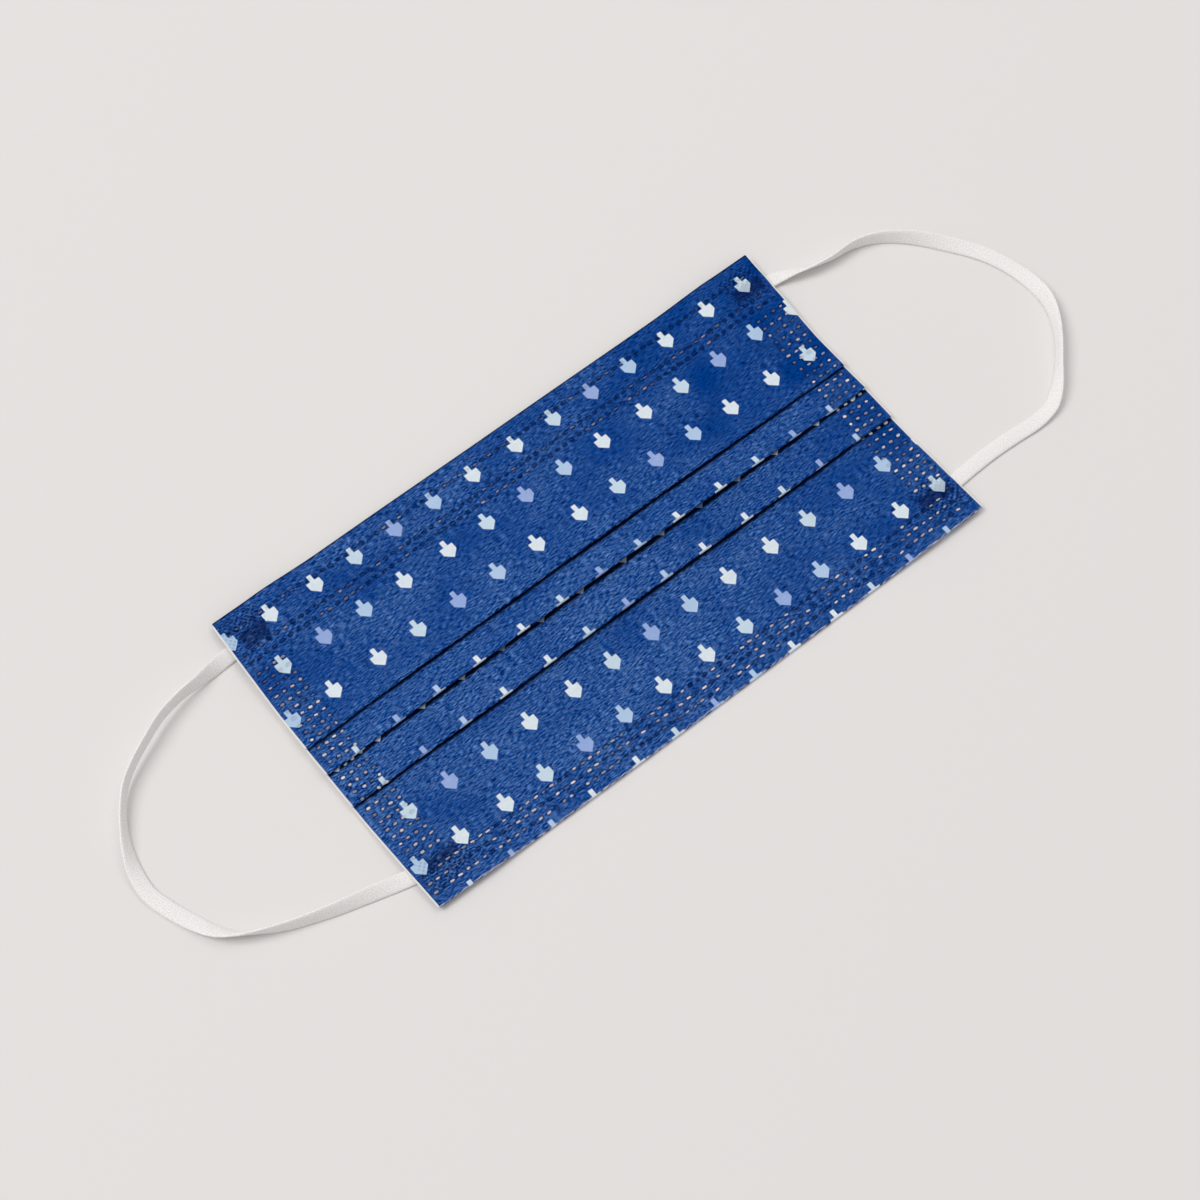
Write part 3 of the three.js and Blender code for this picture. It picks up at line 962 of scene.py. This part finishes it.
def print_mask(tree, across, down):
    """The spinning tops' mask, and their colours by their place in the row."""
    row = ((down - PRINT_TOP) / PRINT_ROW).floor()
    y = down - PRINT_TOP - row * PRINT_ROW
    x = across - PRINT_START - down * PRINT_SKEW + row.modulo(2) * (PRINT_PERIOD / 2)
    share = x.modulo(PRINT_PERIOD) / PRINT_PERIOD
    middles = [(a + b) / 2 for a, b in zip(PRINT_PLACES, PRINT_PLACES[1:])]
    edges = [0, *(middle / PRINT_PERIOD for middle in middles)]
    centre_stops = [(edge, (*[p / PRINT_PERIOD] * 3, 1)) for edge, p in zip(edges, PRINT_PLACES)]
    centre = tree.node("ShaderNodeValToRGB", {"stops": centre_stops}, {0: share})
    colour = tree.node("ShaderNodeValToRGB", {"stops": list(zip(edges, MOTIF_COLOURS))}, {0: share})
    from_centre = abs(share - centre) * PRINT_PERIOD
    stem = (y > 0) * (y < MOTIF_STEM_HEIGHT + 0.01) * (from_centre < MOTIF_STEM / 2)
    point = (MOTIF_HEIGHT - y) * (MOTIF_BODY / 2 / MOTIF_POINT)
    body = (y > MOTIF_STEM_HEIGHT) * (from_centre < point.least(MOTIF_BODY / 2))
    return stem.most(body), colour


def fibres(tree, vector, length, width, angle):
    """Streaks of fibre, from 0 to 1."""
    turned = tree.scaled(vector, (1 / length, 1 / width, 1), angle)
    return tree.noise(turned, 1.0, detail=1, roughness=0.5)


def near(value, places):
    """Distance to the nearest of some places."""
    distance = abs(value - places[0])
    for place in places[1:]:
        distance = distance.least(abs(value - place))
    return distance


def dents(x, y):
    """Dents of dashes, from their distances along the row and across it."""
    return (x * x * 0.55 + y * y).math("SQRT").ramp(DASH_REACH, DASH_REACH * 0.35)


def object_place(tree):
    """Object coordinates as a vector, and as three numbers in millimetres."""
    place = tree.node("ShaderNodeTexCoord", None, None, output=3)
    return place, *(part * (1 / MM) for part in tree.split(place))


def hem_distances(x, y):
    """Distances from the nose edge and from the chin edge, in millimetres."""
    along = x * (MM / HALF_LENGTH)
    bow = (1 - along * along) * (CHIN_BELLY / MM) + (1 + along) * (CHIN_TILT / 2 / MM)
    return TOP_Y / MM - y, y + bow - CHIN_Y / MM


def weld_dents(x, y, from_nose, from_chin):
    """Where the welds draw the cloth in, from 0 to 1, in the hems and at the sides."""
    lift, gain = CHIN_ROWS_LIFT[0] / MM, (CHIN_ROWS_LIFT[1] - CHIN_ROWS_LIFT[0]) / MM
    chin = from_chin - (1 + x * (MM / HALF_LENGTH)) * (gain / 2) - lift
    rows = near(from_nose, [v / MM for v in NOSE_WELDS]).least(near(chin, [v / MM for v in CHIN_WELDS]))
    pitch = HEM_PITCH / MM
    steps_along = abs((x / pitch + 0.5).modulo(1) - 0.5) * pitch
    hems = dents(steps_along, rows)
    slide = (0.5 - (y * y) * (MM / TOP_Y) ** 2) * (SIDE_DRIFT / MM)
    left = x < 0
    start = left * ((LEFT_START - SIDE_START) / MM) + SIDE_START / MM
    pitch = left * ((LEFT_STEP[1] - SIDE_PITCH) / MM) + SIDE_PITCH / MM
    lean = (y - start) * left * (LEFT_STEP[0] / LEFT_STEP[1])
    columns = near(x + slide - lean, [v / MM for v in (*LEFT_WELDS, *RIGHT_WELDS)])
    steps_down = abs(((y - start) / pitch + 0.5).modulo(1) - 0.5) * pitch
    band = abs(y - SIDE_MIDDLE).ramp(*SIDE_REACH)
    return hems.most(dents(columns, steps_down) * band)


def pressed_corners(tree, place, x, y):
    """Masks of the smooth pressed patches and of the knurled areas over them, with uneven edges."""
    wobble = (tree.noise(place, 700.0) - 0.5) * PRESS_WOBBLE
    masks = []
    for boxes, edge in ((PATCHES, PATCH_EDGE), (KNURLS, KNURL_EDGE)):
        parts = [
            (abs(x - at_x) + wobble).ramp(half_x + edge / 2, half_x - edge / 2)
            * (abs(y - at_y) + wobble).ramp(half_y + edge / 2, half_y - edge / 2)
            for at_x, at_y, half_x, half_y in boxes
        ]
        masks.append(parts[0].most(parts[1]).most(parts[2]).most(parts[3]))
    across = (x * KNURL_ACROSS).math("SINE")
    down = (y * KNURL_DOWN[1] + x * KNURL_DOWN[0]).math("SINE")
    knurl = (across * down).ramp(0.0, 0.7)
    return masks[0], masks[1] * knurl


def creases(down):
    """Deep shade of the cloth that lies behind each lip, by its place down the cloth."""
    drawn, shade = 0.0, None
    for k, pleat in enumerate(PLEATS):
        lip = pleat["lip"] * MASK_HEIGHT / MM
        strip = lip - (PLEATS[k - 1]["lip"] * MASK_HEIGHT / MM if k else 0)
        hidden = pleat["depth"] * strip
        edge = lip + 2 * (drawn + hidden) + CREASE_SETS[k]
        drawn += hidden
        part = down.ramp(edge + CREASE_DARK[1], edge + CREASE_DARK[0]) * (down > edge - 2 * hidden)
        shade = part if shade is None else shade.most(part)
    return shade


def printed_material():
    """Navy spunbond with its print, its welds and its pressed corners, with painted sheen and glints on its
    fibres, painted shade in its creases, along its nose edge and around its weld dents, and a pale line
    along its chin edge.
    """
    material, tree = new_material("printed_nonwoven")
    vector, across, down = cloth_map(tree)
    place, x, y, _ = object_place(tree)
    from_nose, from_chin = hem_distances(x, y)
    mask, motif = print_mask(tree, across, down)
    long_fibres, slant_fibres, cross_fibres = (fibres(tree, vector, *size) for size in FIBRES)
    clouds = tree.noise(tree.scaled(vector, (0.05, 0.07, 1)), 1.0, detail=1)
    # Painted sheen: how strongly the pale fibres show, in clouds, to the left and low down.
    fibre_sheen = (clouds - 0.5) * SHEEN_CLOUDS + x.ramp(*SHEEN_LEFT) * SHEEN_LEFT_SHARE
    fibre_sheen = fibre_sheen + y.ramp(*SHEEN_LOW) * SHEEN_LOW_SHARE + SHEEN_LEAST
    # Pale fibre streaks: the fibres' own grain with painted glints on them.
    shine = long_fibres.ramp(0.55, 0.63).most(slant_fibres.ramp(0.59, 0.7))
    shine = shine.most(cross_fibres.ramp(0.64, 0.74))
    shade = long_fibres.ramp(0.47, 0.39)
    dent = weld_dents(x, y, from_nose, from_chin)
    patch, knurl = pressed_corners(tree, place, x, y)
    base = tree.mix(shade, NAVY, NAVY_DEEP)
    base = tree.mix(shine * fibre_sheen * 1.1, base, FIBRE_GLINT_BLUE)
    ink = tree.mix(shine * 0.35, motif, FIBRE_GLINT_PALE)
    colour = tree.mix(mask, base, ink)
    off_print = 1 - mask * 0.7
    # Painted shade around each weld dent, over the pressed cloth's own darker tone.
    colour = tree.mix(dent * 0.5 * off_print, colour, NAVY_PRESSED_AND_SHADED)
    pressed = patch * (0.78 - shine * 0.25)
    colour = tree.mix(pressed.most(knurl * 0.7) * off_print, colour, NAVY_PRESSED_AND_SHADED)
    # Painted shade along the rounded nose edge.
    colour = tree.mix(from_nose.ramp(*NOSE_SHADE_LINE) * 0.9, colour, PAINTED_SHADE_BLACK)
    # A pale streaky line along the chin edge.
    chin_pale_line = long_fibres.ramp(0.4, 0.6) * from_chin.ramp(*CHIN_PALE_LINE)
    colour = tree.mix(chin_pale_line * 0.7, colour, FILM_CREAM)
    slack = (tree.noise(tree.scaled(vector, (0.07, 0.004, 1)), 1.0, detail=1) - 0.5) * CREASE_SLACK
    # Painted shade in the creases behind each lip, lighter over the print.
    colour = tree.mix(creases(down + slack) * (0.95 - mask * 0.62), colour, PAINTED_SHADE_BLACK)
    tone = tree.node("ShaderNodeAttribute", {"attribute_name": "tone"}, None, output=2)
    glow = tree.node("ShaderNodeAttribute", {"attribute_name": "glow"}, None, output=2)
    # The dash's wall and collar take painted shade; its floor shows the fused film's own pale tone with a
    # painted glint.
    rim = (tone > 0.04) * tone.ramp(0.85, 0.3)
    film_and_glint = tone.ramp(0.55, 0.85) * glow.most(0) * (1 - y.ramp(*FILM_FADE) * 0.5) * (1 - mask * 0.85)
    colour = tree.mix(rim * (1 - mask * 0.85) * 0.9, colour, PAINTED_SHADE_BLACK)
    colour = tree.mix(film_and_glint, colour, FILM_CREAM)
    height = long_fibres * 1.5 - dent * 1.4 - knurl
    bump = tree.node("ShaderNodeBump", None, {"Strength": 0.8, "Distance": 0.2 * MM, "Height": height})
    finish_material(tree, plain_surface(tree, colour, 0.75, Normal=bump, Specular_IOR_Level=0.01))
    return material


def white_cloth_material():
    """White spunbond of the inner ply and of the cut edges."""
    material, tree = new_material("white_nonwoven")
    vector, _, _ = cloth_map(tree)
    long_fibres, slant_fibres = (fibres(tree, vector, *size) for size in WHITE_FIBRES)
    streaks = long_fibres.most(slant_fibres)
    colour = tree.mix(streaks.ramp(0.4, 0.75), CLOTH_SHADE, CLOTH_WHITE)
    bump = tree.node("ShaderNodeBump", None, {"Strength": 0.5, "Distance": 0.12 * MM, "Height": streaks})
    finish_material(tree, plain_surface(tree, colour, 0.8, Normal=bump))
    return material


def elastic_material():
    """White knitted elastic: zigzag stitches in columns along the band."""
    material, tree = new_material("white_elastic")
    vector, across, along = cloth_map(tree)
    share = (across / STITCH_COLUMN).modulo(1)
    slant = abs(share - 0.5) * STITCH_SLANT
    stitch = abs(((along + slant) / STITCH_COURSE).modulo(1) - 0.5)
    groove = abs(share - 0.5).ramp(0.5, 0.32)
    height = groove * 0.6 + stitch.ramp(0.5, 0.15) * 0.6
    fuzz = tree.noise(vector, 2.6, detail=2)
    # Darker in the grooves between stitches, as painted shade, and unevenly by the yarn's fuzz.
    colour = tree.mix(height.ramp(0.1, 0.9) * 0.5 + fuzz.ramp(0.4, 0.6) * 0.5, ELASTIC_SHADE, ELASTIC_WHITE)
    relief = {"Strength": 0.6, "Distance": 0.15 * MM, "Height": height * 0.5 + fuzz * 1.5}
    bump = tree.node("ShaderNodeBump", None, relief)
    finish_material(tree, plain_surface(tree, colour, 0.75, Normal=bump, Sheen_Weight=0.2))
    return material


def wire_material():
    """White plastic coating of the nose wire."""
    material, tree = new_material("coated_wire")
    place = tree.node("ShaderNodeTexCoord", None, None, output=3)
    grain = tree.noise(place, 900.0)
    colour = tree.mix(grain, WIRE_SHADE, WIRE_WHITE)
    finish_material(tree, plain_surface(tree, colour, 0.45))
    return material


def floor_material():
    """Plain pale floor."""
    material, tree = new_material("floor")
    finish_material(tree, plain_surface(tree, FLOOR_COLOUR, 0.9))
    return material


# Pieces

def channel_puff(length):
    """How the printed ply swells over the channel of the nose wire, by its length of cloth."""
    return CHANNEL_PUFF * smooth(length, *CHANNEL_RISE) * (1 - smooth(length, *CHANNEL_FALL))


def build_plies(printed, white):
    """Both plies, each in the place of its solid."""
    zero = stretch_steps(NOSE_HEM) + TURN_STEPS // 2
    outer = ply_mesh("printed_ply", outer_line, HALF_LENGTH - EDGE_SHOW, zero, channel_puff)
    inner = ply_mesh("backing_ply", inner_line, HALF_LENGTH, 0, np.zeros_like)
    front = add_object("printed_ply", outer, printed, white)
    backing = add_object("backing_ply", inner, white, white)
    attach(front, "root")
    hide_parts("outer_ply")
    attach(backing, "root")
    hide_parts("inner_ply")
    return front, backing


def build_loop(name, node, route, material):
    """One ear loop in the place of its solid."""
    rings, centres, lengths = band_rings(route)
    loop = add_object(name, band_mesh(name, rings, lengths), material)
    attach(loop, "root")
    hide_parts(node)
    tuple(centres[0])


# Studio

def build_floor():
    """The pale surface that the mask lies on."""
    half = FLOOR_SIZE / 2
    mesh = bpy.data.meshes.new("floor")
    corners = [(-half, -half, 0), (half, -half, 0), (half, half, 0), (-half, half, 0)]
    mesh.from_pydata(corners, [], [(0, 1, 2, 3)])
    floor = add_object("floor", mesh, floor_material())
    floor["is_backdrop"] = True


def add_light(name, place, size, power):
    """A square soft light that looks at the origin."""
    light = bpy.data.lights.new(name, "AREA")
    light.size = size
    light.energy = power
    lamp = bpy.data.objects.new(name, light)
    bpy.context.scene.collection.objects.link(lamp)
    lamp.location = place
    lamp.rotation_euler = (-place).to_track_quat("-Z", "Y").to_euler()


def build_studio():
    """Floor, lights, sky and camera."""
    build_floor()
    add_light("key", KEY_PLACE, KEY_SIZE, KEY_POWER)
    add_light("fill", FILL_PLACE, FILL_SIZE, FILL_POWER)
    world = bpy.data.worlds.new("studio")
    world.use_nodes = True
    tree = Tree(world.node_tree)
    sky = tree.node("ShaderNodeBackground", None, {"Color": SKY_COLOUR, "Strength": SKY_STRENGTH})
    tree.node("ShaderNodeOutputWorld", None, {"Surface": sky})
    bpy.context.scene.world = world
    data = bpy.data.cameras.new("camera")
    data.lens = CAMERA_LENS
    data.sensor_width = CAMERA_SENSOR
    camera = bpy.data.objects.new("camera", data)
    bpy.context.scene.collection.objects.link(camera)
    turn = (CAMERA_TARGET - CAMERA_PLACE).to_track_quat("-Z", "Y").to_matrix().to_4x4()
    camera.matrix_world = Matrix.Translation(CAMERA_PLACE) @ turn @ Matrix.Rotation(CAMERA_ROLL, 4, "Z")
    bpy.context.scene.camera = camera
    bpy.context.scene.view_settings.view_transform = "Standard"


def save_boxes():
    """Lists the solids' box and the dressed model's box, and keeps neither."""
    boxes = {"cad": cad_box, "visual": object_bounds()}
    {name: [list(corner) for corner in box] for name, box in boxes.items()}


build_studio()
elastic = elastic_material()
build_loop("left_loop", "ear_loop_left", LEFT_ROUTE, elastic)
build_loop("right_loop", "ear_loop_right", RIGHT_ROUTE, elastic)
white_cloth = white_cloth_material()
printed = printed_material()
printed_ply, backing_ply = build_plies(printed, white_cloth)
welds = build_welds(printed_ply, printed)
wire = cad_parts["nose_wire"].data
wire.materials.clear()
wire.materials.append(wire_material())

save_boxes()
